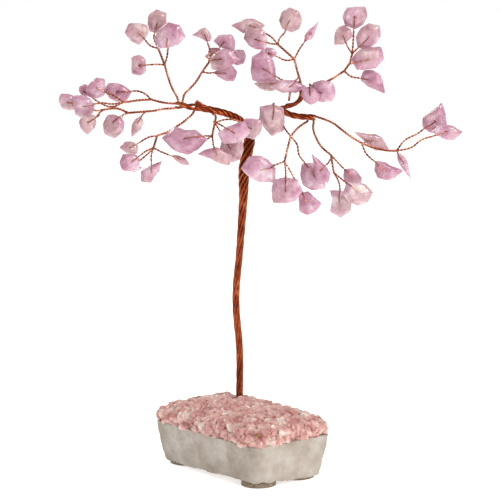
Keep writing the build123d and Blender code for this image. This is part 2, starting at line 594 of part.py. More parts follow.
def twig(route, chip, from_root):
    """A twisted pair from a knot to a chip, opening into the loop that passes through the chip."""
    to_wire = route[-1] - chip.hole
    away = (to_wire - chip.normal * to_wire.dot(chip.normal)).normalized()
    far = chip.reach_towards(away)
    neck = chip.hole + away * (far + LOOP_NECK)
    clear = 0 if from_root else KNOT_DIA / 2 + WIRE_GAP
    points = set_back(route + [neck], clear, 0)
    wire = tube(smooth_path(points, tangents_at(points, end=-away)), TWIG_DIA)
    if from_root:
        wire += Pos(*points[0]) * Sphere(TWIG_DIA / 2)
    face = chip.normal * (chip.thick / 2 + LOOP_CLEAR + LOOP_DIA / 2)
    split = chip.normal * LOOP_DIA / 2
    inside = neck + away * LOOP_DIA / 2
    shoulder = chip.hole + away * far * LOOP_SHOULDER
    corners = [inside + split, neck + split, shoulder + face, chip.hole + face,
               chip.hole - face, shoulder - face, neck - split, inside - split]
    loop = tube(FilletPolyline(*corners, radius=LOOP_BEND).wire(), LOOP_DIA)
    return wire + loop


def build_sprays():
    order = 0
    for name, spray in SPRAYS.items():
        knots = {key: tree_point(place) for key, place in spray["knots"].items()}

        def walk(route):
            return [knots[step] if isinstance(step, str) else tree_point(step) for step in route]

        wires = [Pos(*place) * Sphere(KNOT_DIA / 2) for key, place in knots.items() if key != "root"]
        for route in spray["stems"]:
            wires.append(stem(walk(route), route[0] == "root"))
        chips = []
        for chip_name, (route, hole, turn, reach) in spray["twigs"].items():
            chip = Chip(chip_name, order, hole, turn, reach)
            order += 1
            wires.append(twig(walk(route), chip, route[0] == "root"))
            if chip_name in LOOSE_CHIPS:
                save(f"loose_chip_{chip_name}", chip.solid())
            else:
                chips.append(chip.solid())
        save(f"{name}_wires", wires)
        save(f"{name}_chips", chips)


build_sprays()
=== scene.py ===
import bpy, bmesh, math
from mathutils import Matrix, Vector


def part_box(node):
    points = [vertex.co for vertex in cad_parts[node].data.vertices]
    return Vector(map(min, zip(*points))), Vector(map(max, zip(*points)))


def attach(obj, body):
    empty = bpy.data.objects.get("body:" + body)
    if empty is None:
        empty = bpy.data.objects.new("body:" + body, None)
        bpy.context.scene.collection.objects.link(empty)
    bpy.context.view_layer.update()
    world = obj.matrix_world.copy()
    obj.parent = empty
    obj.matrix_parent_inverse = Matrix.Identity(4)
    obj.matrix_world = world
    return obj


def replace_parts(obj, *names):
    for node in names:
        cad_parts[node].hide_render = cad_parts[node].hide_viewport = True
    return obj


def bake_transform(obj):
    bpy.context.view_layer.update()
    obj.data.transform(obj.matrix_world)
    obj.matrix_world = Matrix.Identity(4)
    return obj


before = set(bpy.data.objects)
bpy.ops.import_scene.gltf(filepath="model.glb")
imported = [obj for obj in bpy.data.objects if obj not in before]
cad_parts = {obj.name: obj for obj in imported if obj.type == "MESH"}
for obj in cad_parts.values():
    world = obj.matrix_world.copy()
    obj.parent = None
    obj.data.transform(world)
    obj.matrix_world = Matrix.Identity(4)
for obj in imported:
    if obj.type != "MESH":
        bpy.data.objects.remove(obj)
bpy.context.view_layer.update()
scene = bpy.context.scene


def tone(code, alpha=1.0):
    """A hex sRGB colour as the linear values that shaders take."""
    parts = [int(code[i:i + 2], 16) / 255 for i in (1, 3, 5)]
    return [c / 12.92 if c <= 0.04045 else ((c + 0.055) / 1.055) ** 2.4 for c in parts] + [alpha]


def shader(name, **values):
    """A Principled material with its nodes, its links, its shader and its noise coordinates."""
    made = bpy.data.materials.new(name)
    made.use_nodes = True
    nodes, links = made.node_tree.nodes, made.node_tree.links
    bsdf = nodes["Principled BSDF"]
    for key, value in values.items():
        bsdf.inputs[key.replace("_", " ")].default_value = value
    place = nodes.new("ShaderNodeTexCoord").outputs["Object"]

    def noise(scale, detail=4.0, roughness=0.6):
        n = nodes.new("ShaderNodeTexNoise")
        n.inputs["Scale"].default_value = scale
        n.inputs["Detail"].default_value = detail
        n.inputs["Roughness"].default_value = roughness
        links.new(place, n.inputs["Vector"])
        return n.outputs["Fac"]

    def ramp(fac, *stops):
        r = nodes.new("ShaderNodeValToRGB").color_ramp
        while len(r.elements) < len(stops):
            r.elements.new(1.0)
        for e, (at, colour) in zip(r.elements, stops):
            e.position, e.color = at, tone(colour)
        links.new(fac, nodes[-1].inputs["Fac"])
        return nodes[-1].outputs["Color"]

    def bump(height, strength, distance):
        b = nodes.new("ShaderNodeBump")
        b.inputs["Strength"].default_value = strength
        b.inputs["Distance"].default_value = distance
        links.new(height, b.inputs["Height"])
        links.new(b.outputs["Normal"], bsdf.inputs["Normal"])

    return made, bsdf, links, noise, ramp, bump


def cad_copy(name, *nodes):
    """One clean mesh that holds copies of CAD nodes, their doubled corners merged."""
    bm = bmesh.new()
    for node in nodes:
        bm.from_mesh(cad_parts[node].data)
    bmesh.ops.remove_doubles(bm, verts=bm.verts, dist=1e-6)
    mesh = bpy.data.meshes.new(name)
    bm.to_mesh(mesh)
    bm.free()
    made = bpy.data.objects.new(name, mesh)
    scene.collection.objects.link(made)
    return made


def settle(made, material, smooth=True):
    """The object's modifiers become plain mesh, and it takes its material."""
    bpy.context.view_layer.update()
    mesh = bpy.data.meshes.new_from_object(made.evaluated_get(bpy.context.evaluated_depsgraph_get()))
    made.modifiers.clear()
    made.data = mesh
    mesh.materials.clear()
    mesh.materials.append(material)
    mesh.polygons.foreach_set("use_smooth", [smooth] * len(mesh.polygons))
    return made


def roughen(made, voxel, relax, *bumps):
    """Even cells, a little rounding, and cloud-shaped unevenness of given sizes and depths in metres."""
    cells = made.modifiers.new("cells", "REMESH")
    cells.mode, cells.voxel_size = "VOXEL", voxel
    soft = made.modifiers.new("soft", "SMOOTH")
    soft.factor, soft.iterations = 0.5, relax
    for size, depth in bumps:
        cloud = bpy.data.textures.new(f"{made.name}_{size}", "CLOUDS")
        cloud.noise_scale = size
        push = made.modifiers.new("push", "DISPLACE")
        push.texture, push.texture_coords, push.strength, push.mid_level = cloud, "LOCAL", depth, 0.6


# Stage: the photo's long lens at the height of the crown, a white floor that keeps the tree's
# shadow, a white surround, and a soft key light from the right that leaves the block's left side grey
camera = bpy.data.objects.new("camera", bpy.data.cameras.new("camera"))
camera.location = (-0.0033, -0.6944, 0.1802)
camera.rotation_euler = (Vector((-0.0033, -0.00225, 0.0755)) - camera.location).to_track_quat("-Z", "Y").to_euler()
camera.data.lens, camera.data.sensor_width, camera.data.clip_start = 151.2, 36.0, 0.01
scene.collection.objects.link(camera)
scene.camera = camera
scene.view_settings.view_transform = "Standard"
world = scene.world or bpy.data.worlds.new("surround")
scene.world = world
world.use_nodes = True
world.node_tree.nodes["Background"].inputs["Color"].default_value = (1, 1, 1, 1)
world.node_tree.nodes["Background"].inputs["Strength"].default_value = 0.5
seen = world.node_tree.nodes.new("ShaderNodeLightPath").outputs["Is Camera Ray"]
lift = world.node_tree.nodes.new("ShaderNodeMapRange")
lift.inputs["To Min"].default_value = 0.5
world.node_tree.links.new(seen, lift.inputs["Value"])
world.node_tree.links.new(lift.outputs["Result"], world.node_tree.nodes["Background"].inputs["Strength"])
for name, place, size, power, colour in (("key", (0.55, -0.45, 0.75), 0.35, 5.5, "#FFFBF4"),
                                         ("rim", (-0.5, 0.45, 0.6), 0.4, 2.5, "#FFFFFF"),
                                         ("front", (0.4, -0.85, 0.3), 0.5, 1.8, "#FFFFFF")):
    lamp = bpy.data.objects.new(name, bpy.data.lights.new(name, "AREA"))
    lamp.data.size, lamp.data.energy, lamp.data.color = size, power, tone(colour)[:3]
    lamp.location = place
    lamp.rotation_euler = (Vector((0, 0, 0.08)) - lamp.location).to_track_quat("-Z", "Y").to_euler()
    scene.collection.objects.link(lamp)
bpy.ops.mesh.primitive_plane_add(size=8, location=(0, 0, -0.0001))
floor = bpy.context.object
floor.name = "floor"
white = shader("floor_white", Base_Color=tone("#FFFFFF"), Roughness=1.0, Specular_IOR_Level=0.0,
               Emission_Color=(1, 1, 1, 1), Emission_Strength=0.55)[0]
floor.data.materials.append(white)

# Base: a rough cast block of white plaster on round tan pads, its colour greyed to beige all over as painted shade and
# mottled unevenly.
# Its sides are hand-broken, so the surface waves by about half a millimetre
plaster, bsdf, links, noise, ramp, bump = shader("white_plaster", Roughness=0.85)
# Painted shade: the white plaster's colour is greyed to beige everywhere, with random mottling in it
links.new(ramp(noise(90.0, 8.0, 0.65), (0.3, "#897D70"), (0.47, "#A2978C"), (0.66, "#B7AFA7")), bsdf.inputs["Base Color"])
bump(noise(900.0, 8.0, 0.7), 0.6, 0.0006)
block_centre, front_pad = Vector((-0.0063, 0.0)), Vector((-0.0005, -0.0201))
foot_spread, brim_spread, brim_height = 1.02, 0.025, 0.016
hem_top, hem_drop, hem_clear = 0.003, 0.0012, 0.008
block = cad_copy("cast_block", "base_block")
for v in block.data.vertices:
    v.co.xy = block_centre + (v.co.xy - block_centre) * (foot_spread + brim_spread * min(1, max(0, v.co.z) / brim_height) ** 0.4)
    if v.co.z < hem_top:
        v.co.z -= hem_drop * min(1, max(0, (v.co.xy - front_pad).length / hem_clear - 1))
roughen(block, 0.0006, 6, (0.009, 0.0012), (0.003, 0.0008))
settle(block, plaster)
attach(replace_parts(block, "base_block"), "base_and_trunk")

cork, bsdf, links, noise, ramp, bump = shader("tan_pad", Roughness=0.9)
links.new(ramp(noise(1500.0), (0.35, "#5B5346"), (0.6, "#8F7F6A")), bsdf.inputs["Base Color"])
for side in ("front", "right", "left", "back"):
    pad = cad_copy(f"round_pad_{side}", f"foot_pad_{side}")
    round_edge = pad.modifiers.new("edge", "BEVEL")
    round_edge.width, round_edge.segments = 0.0003, 2
    settle(pad, cork, False)
    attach(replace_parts(pad, f"foot_pad_{side}"), "base_and_trunk")

# Crystals: broken pink granules scattered over the bed and heaped a little,
# some of them pale and clear, with two amber drops of glue and the glue round the trunk
pink, bsdf, links, noise, ramp, bump = shader("pink_crystal", Roughness=0.28, IOR=1.54, Transmission_Weight=0.15,
                                              Subsurface_Weight=0.25, Subsurface_Scale=0.002)
bsdf.inputs["Subsurface Radius"].default_value = (1.0, 0.5, 0.5)
links.new(ramp(noise(260.0, 2.0), (0.34, "#BA7D77"), (0.46, "#D29A92"), (0.58, "#E0B5AB"), (0.7, "#F1DCD2")),
          bsdf.inputs["Base Color"])
bump(noise(1400.0), 0.3, 0.0003)
bm = bmesh.new()
bmesh.ops.create_icosphere(bm, subdivisions=2, radius=0.5)
for i, v in enumerate(bm.verts):
    v.co *= 0.8 + 0.4 * (math.sin(i * 12.99) * 43758.5 % 1)
grain_mesh = bpy.data.meshes.new("grain")
bm.to_mesh(grain_mesh)
bm.free()
grain_mesh.materials.append(pink)
grain = bpy.data.objects.new("grain", grain_mesh)
grains = bpy.data.node_groups.new("scattered_grains", "GeometryNodeTree")
for label, kind, way in (("Geometry", "NodeSocketGeometry", "INPUT"), ("Geometry", "NodeSocketGeometry", "OUTPUT"),
                         ("Spacing", "NodeSocketFloat", "INPUT"), ("Smallest", "NodeSocketFloat", "INPUT"),
                         ("Largest", "NodeSocketFloat", "INPUT")):
    grains.interface.new_socket(label, in_out=way, socket_type=kind)
node, wire = grains.nodes.new, grains.links.new
enter, leave = node("NodeGroupInput"), node("NodeGroupOutput")
spread, size, spin = node("GeometryNodeDistributePointsOnFaces"), node("FunctionNodeRandomValue"), node("FunctionNodeRandomValue")
place, source, real = node("GeometryNodeInstanceOnPoints"), node("GeometryNodeObjectInfo"), node("GeometryNodeRealizeInstances")
paint, both = node("GeometryNodeSetMaterial"), node("GeometryNodeJoinGeometry")
spread.distribute_method = "POISSON"
spread.inputs["Density Max"].default_value = 900000.0
spread.inputs["Seed"].default_value = 7
spin.data_type = "FLOAT_VECTOR"
spin.inputs["Max"].default_value = (6.28, 6.28, 6.28)
source.inputs["Object"].default_value = grain
paint.inputs["Material"].default_value = pink
wire(enter.outputs["Geometry"], spread.inputs["Mesh"])
wire(enter.outputs["Spacing"], spread.inputs["Distance Min"])
wire(enter.outputs["Smallest"], size.inputs[2])
wire(enter.outputs["Largest"], size.inputs[3])
wire(spread.outputs["Points"], place.inputs["Points"])
wire(source.outputs["Geometry"], place.inputs["Instance"])
wire(spin.outputs["Value"], place.inputs["Rotation"])
wire(size.outputs[1], place.inputs["Scale"])
wire(place.outputs["Instances"], real.inputs["Geometry"])
wire(real.outputs["Geometry"], both.inputs["Geometry"])
wire(enter.outputs["Geometry"], both.inputs["Geometry"])
wire(both.outputs["Geometry"], paint.inputs["Geometry"])
wire(paint.outputs["Geometry"], leave.inputs["Geometry"])
crust = cad_copy("crystal_crust", "crystal_bed")
roughen(crust, 0.0008, 2)
settle(crust, pink, False)
heap, half_length, half_width, crust_spread = 0.0043, 0.0285, 0.0172, 1.012
lengthwise = Vector((math.cos(math.radians(129.4)), math.sin(math.radians(129.4))))
crosswise = Vector((lengthwise.y, -lengthwise.x))
for v in crust.data.vertices:
    flat = v.co.xy - block_centre
    u, w = min(1, abs(flat.dot(lengthwise)) / half_length), min(1, abs(flat.dot(crosswise)) / half_width)
    if v.normal.z > 0.5:
        v.co.z += heap * (1 - u ** 6) * (1 - w ** 6)
    v.co.xy = block_centre + flat * crust_spread
inset = crust.modifiers.new("grains", "NODES")
inset.node_group = grains
for socket, value in zip((s for s in grains.interface.items_tree if s.in_out == "INPUT" and s.name != "Geometry"),
                         (0.00115, 0.0015, 0.0038)):
    inset[socket.identifier] = value
settle(crust, pink, False)
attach(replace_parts(crust, "crystal_bed", "crystal_granules"), "base_and_trunk")
amber = shader("set_glue", Base_Color=tone("#A9803F"), Roughness=0.2, Transmission_Weight=0.5)[0]
collar = settle(cad_copy("root_drop", "root_glue"), amber)
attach(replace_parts(collar, "root_glue"), "base_and_trunk")
drops = settle(cad_copy("glue_drops", "glue_beads"), amber)
streak, drop_reach, drop_sink = Vector((1.7, 1.2, 0.9)), 0.0012, 0.0005
for front, outward in ((True, 0.0012), (False, 0.0)):
    drop = [v for v in drops.data.vertices if (v.co.y < 0) == front]
    middle = sum((v.co for v in drop), Vector()) / len(drop)
    seat = middle.copy()
    seat.xy += (middle.xy - block_centre).normalized() * outward
    seat.z = max(v.co.z for v in crust.data.vertices if (v.co.xy - seat.xy).length < drop_reach) - drop_sink
    for v in drop:
        v.co = seat + (v.co - middle) * streak
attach(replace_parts(drops, "glue_beads"), "base_and_trunk")

# Trunk and limbs: drawn copper wires wound round each other, dark in the grooves,
# the crotch a knot of wire where the bundle parts to the left and to the right
copper, bsdf, links, noise, ramp, bump = shader("copper_wire", Metallic=1.0, Roughness=0.3)
links.new(ramp(noise(220.0), (0.3, "#5E2412"), (0.5, "#8C3F22"), (0.7, "#B8683F")), bsdf.inputs["Base Color"])
bump(noise(3000.0), 0.15, 0.0001)
# Painted highlight: the twigs, stems and loops take a lighter copy of the same copper wire's colour, standing in for
# their glints
painted_highlight_copper, bsdf, links, noise, ramp, bump = shader("copper_wire_painted_highlight", Metallic=1.0, Roughness=0.24)
links.new(ramp(noise(300.0), (0.32, "#70301D"), (0.5, "#AA5F45"), (0.68, "#DA9F83")), bsdf.inputs["Base Color"])
trunk_line = [(-6.9, 15.5, 6.7), (-6.9, 15.4, 21.0), (-6.9, 14.0, 38.4), (-8.1, 12.6, 56.0), (-6.8, 11.2, 73.5),
              (-5.6, 9.8, 90.8), (-5.2, 8.9, 101.0), (-3.4, 8.1, 111.6)]
trunk_spread = 1.24
trunk_nodes = ["trunk_core"] + [f"trunk_strand_{k}" for k in range(1, 8)]
for name, nodes in (("trunk_bundle", trunk_nodes), ("left_limb_bundle", ["left_limb"]),
                    ("right_limb_bundle", ["right_limb", "right_riser"])):
    bundle = cad_copy(name, *nodes)
    if name == "trunk_bundle":
        for v in bundle.data.vertices:
            below, above = next((p for p in zip(trunk_line, trunk_line[1:]) if v.co.z * 1000 <= p[1][2]),
                                (trunk_line[-2], trunk_line[-1]))
            share = (v.co.z * 1000 - below[2]) / (above[2] - below[2])
            middle = (Vector(below[:2]) + (Vector(above[:2]) - Vector(below[:2])) * share) / 1000
            v.co.xy = middle + (v.co.xy - middle) * trunk_spread
    thicken = bundle.modifiers.new("thicken", "DISPLACE")
    thicken.strength, thicken.mid_level = 0.00009, 0.0
    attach(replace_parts(settle(bundle, copper), *nodes), "base_and_trunk")

# Twisted pairs: one set of nodes winds strands round every wire of a curve object,
# and is used for the wrap at the crotch and for the twigs of each spray
pair = bpy.data.node_groups.new("twisted_strands", "GeometryNodeTree")
for label, kind, way in (("Geometry", "NodeSocketGeometry", "INPUT"), ("Geometry", "NodeSocketGeometry", "OUTPUT"),
                         ("Strands", "NodeSocketInt", "INPUT"), ("Ring", "NodeSocketFloat", "INPUT"),
                         ("Wire", "NodeSocketFloat", "INPUT"), ("Turn", "NodeSocketFloat", "INPUT")):
    pair.interface.new_socket(label, in_out=way, socket_type=kind)
node, wire = pair.nodes.new, pair.links.new
enter, leave = node("NodeGroupInput"), node("NodeGroupOutput")


def sums(operation, first, second=None):
    step = node("ShaderNodeMath")
    step.operation = operation
    for socket, value in zip(step.inputs, (first, second)):
        if isinstance(value, (int, float)):
            socket.default_value = value
        elif value is not None:
            wire(value, socket)
    return step.outputs[0]


def arrows(operation, first, second):
    step = node("ShaderNodeVectorMath")
    step.operation = operation
    wire(first, step.inputs[0])
    wire(second, step.inputs["Scale" if operation == "SCALE" else 1])
    return step.outputs[0]


even, copies, shift = node("GeometryNodeResampleCurve"), node("GeometryNodeDuplicateElements"), node("GeometryNodeSetPosition")
skin, outline, paint = node("GeometryNodeCurveToMesh"), node("GeometryNodeCurvePrimitiveCircle"), node("GeometryNodeSetMaterial")
real = node("GeometryNodeRealizeInstances")
normal, tangent = node("GeometryNodeInputNormal").outputs[0], node("GeometryNodeInputTangent").outputs[0]
along = node("GeometryNodeSplineParameter").outputs["Length"]
even.mode, copies.domain = "LENGTH", "SPLINE"
even.inputs["Length"].default_value = 0.00016
outline.inputs["Resolution"].default_value = 7
skin.inputs["Fill Caps"].default_value = True
paint.inputs["Material"].default_value = copper
wire(enter.outputs["Geometry"], even.inputs["Curve"])
wire(even.outputs["Curve"], copies.inputs["Geometry"])
wire(enter.outputs["Strands"], copies.inputs["Amount"])
angle = sums("ADD", sums("DIVIDE", along, enter.outputs["Turn"]),
             sums("DIVIDE", copies.outputs["Duplicate Index"], enter.outputs["Strands"]))
angle = sums("MULTIPLY", angle, -math.tau)
side = arrows("SCALE", normal, sums("MULTIPLY", sums("COSINE", angle), enter.outputs["Ring"]))
over = arrows("SCALE", arrows("CROSS_PRODUCT", tangent, normal), sums("MULTIPLY", sums("SINE", angle), enter.outputs["Ring"]))
wire(copies.outputs["Geometry"], shift.inputs["Geometry"])
wire(arrows("ADD", side, over), shift.inputs["Offset"])
wire(shift.outputs["Geometry"], skin.inputs["Curve"])
wire(enter.outputs["Wire"], outline.inputs["Radius"])
wire(outline.outputs["Curve"], skin.inputs["Profile Curve"])
wire(skin.outputs["Mesh"], real.inputs["Geometry"])
wire(real.outputs["Geometry"], paint.inputs["Geometry"])
wire(paint.outputs["Geometry"], leave.inputs["Geometry"])


def wound(name, routes, strands, ring, radius, turn, metal, bend="AUTO"):
    """Wires along routes of points in millimetres, each of so many strands, as one mesh object."""
    line = bpy.data.curves.new(name, "CURVE")
    line.dimensions = "3D"
    for route in routes:
        spline = line.splines.new("BEZIER")
        spline.bezier_points.add(len(route) - 1)
        for knob, point in zip(spline.bezier_points, route):
            knob.co = Vector(point) / 1000
            knob.handle_left_type = knob.handle_right_type = bend
    drawn = bpy.data.objects.new(name, line)
    scene.collection.objects.link(drawn)
    twist = drawn.modifiers.new("strands", "NODES")
    twist.node_group = pair
    values = {"Strands": strands, "Ring": ring, "Wire": radius, "Turn": turn}
    for socket in pair.interface.items_tree:
        if socket.name in values:
            twist[socket.identifier] = values[socket.name]
    bpy.context.view_layer.update()
    mesh = bpy.data.meshes.new_from_object(drawn.evaluated_get(bpy.context.evaluated_depsgraph_get()))
    bpy.data.objects.remove(drawn)
    mesh.materials.clear()
    mesh.materials.append(metal)
    mesh.polygons.foreach_set("use_smooth", [True] * len(mesh.polygons))
    made = bpy.data.objects.new(name, mesh)
    scene.collection.objects.link(made)
    return made


def joined(first, *others):
    """Several meshes as one object."""
    bm = bmesh.new()
    for part in (first, *others):
        bm.from_mesh(part.data)
    bm.to_mesh(first.data)
    bm.free()
    for part in others:
        bpy.data.objects.remove(part)
    return first


ring_low, ring_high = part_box("crotch_wrap")
middle = (ring_low + ring_high) * 500
wraps = []
for k in range(5):
    tilt = 0.25 * math.sin(k * 2.1)
    wraps.append([(middle.x + 1.45 * math.cos(a), middle.y + 1.45 * math.sin(a), middle.z - 1.1 + 0.55 * k + tilt * math.cos(a))
                  for a in [math.tau * i / 10 for i in range(11)]])
leads = [[(middle.x - 0.8, middle.y, middle.z - 2.8), (middle.x - 0.5, middle.y, middle.z), (middle.x - 1.8, middle.y, middle.z + 1.9)],
         [(middle.x + 0.2, middle.y, middle.z - 2.8), (middle.x + 0.5, middle.y + 0.1, middle.z), (middle.x + 1.9, middle.y + 0.3, middle.z + 1.9)]]
crotch = joined(wound("crotch_knot", wraps, 2, 0.00016, 0.0002, 0.002, copper), wound("crotch_leads", leads, 5, 0.0006, 0.00035, 0.011, copper))
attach(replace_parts(crotch, "crotch_wrap"), "base_and_trunk")
filling = wound("trunk_filling", [trunk_line[3:]],
                5, 0.0006, 0.0005, 0.04, copper)
ends = wound("limb_ends", [[(3.6, 8.8, 120.2), (6.4, 9.1, 121.7), (9.2, 9.5, 122.4), (11.2, 9.9, 123.0),
                            (13.0, 10.0, 124.2), (13.9, 10.2, 126.0), (13.8, 10.8, 128.5)],
                           [(-16.5, 7.4, 121.6), (-19.3, 7.2, 122.9), (-21.4, 7.1, 124.3)]], 5, 0.00046, 0.0003, 0.009, copper)
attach(joined(ends, filling), "base_and_trunk")

# Quartz: tumbled rose-quartz chips, milky and cloudy inside, pale at the edges and deeper pink
# in the thick middle, softly polished; each spray's chips keep the places of the drilled solids
quartz, bsdf, links, noise, ramp, bump = shader("rose_quartz", Roughness=0.22, IOR=1.544, Transmission_Weight=0.12,
                                                Subsurface_Weight=0.4, Subsurface_Scale=0.003, Coat_Weight=0.3,
                                                Coat_Roughness=0.12)
bsdf.inputs["Subsurface Radius"].default_value = (1.0, 0.55, 0.75)
cloudy = quartz.node_tree.nodes.new("ShaderNodeMix")
cloudy.data_type = "RGBA"
grain_noise = noise(190.0, 6.0, 0.65)
links.new(ramp(noise(75.0, 0.0), (0.42, "#000000"), (0.6, "#FFFFFF")), cloudy.inputs["Factor"])
links.new(ramp(grain_noise, (0.34, "#A86F87"), (0.46, "#BC8AA0"), (0.56, "#C9A1B2"), (0.68, "#DECDD3")), cloudy.inputs["A"])
links.new(ramp(grain_noise, (0.34, "#A0757D"), (0.46, "#B89097"), (0.56, "#C8A8AB"), (0.68, "#E0D3D1")), cloudy.inputs["B"])
links.new(cloudy.outputs["Result"], bsdf.inputs["Base Color"])
bump(noise(260.0, 3.0), 0.15, 0.0005)


def polished(name, body, node_name, holes, tight, grow):
    """Chips of one CAD node with the holes drawn in round the wire, rounded like tumbled stone."""
    stones = cad_copy(name, node_name)
    bm = bmesh.new()
    bm.from_mesh(stones.data)
    for hole, axis in holes:
        for v in bm.verts:
            arm = v.co - hole / 1000
            arm -= axis * arm.dot(axis)
            if arm.length < 0.0006:
                v.co -= arm * (1 - tight)
    waiting = set(bm.verts)
    while waiting:
        stone = {waiting.pop()}
        edge = list(stone)
        while edge:
            near = {e.other_vert(v) for v in edge for e in v.link_edges} - stone
            stone |= near
            edge = list(near)
        waiting -= stone
        middle = sum((v.co for v in stone), Vector()) / len(stone)
        for v in stone:
            v.co.xz = middle.xz + (v.co.xz - middle.xz) * grow
    bm.to_mesh(stones.data)
    bm.free()
    roughen(stones, 0.00022, 48, (0.0035, 0.0005))
    settle(stones, quartz)
    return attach(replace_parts(stones, node_name), body)


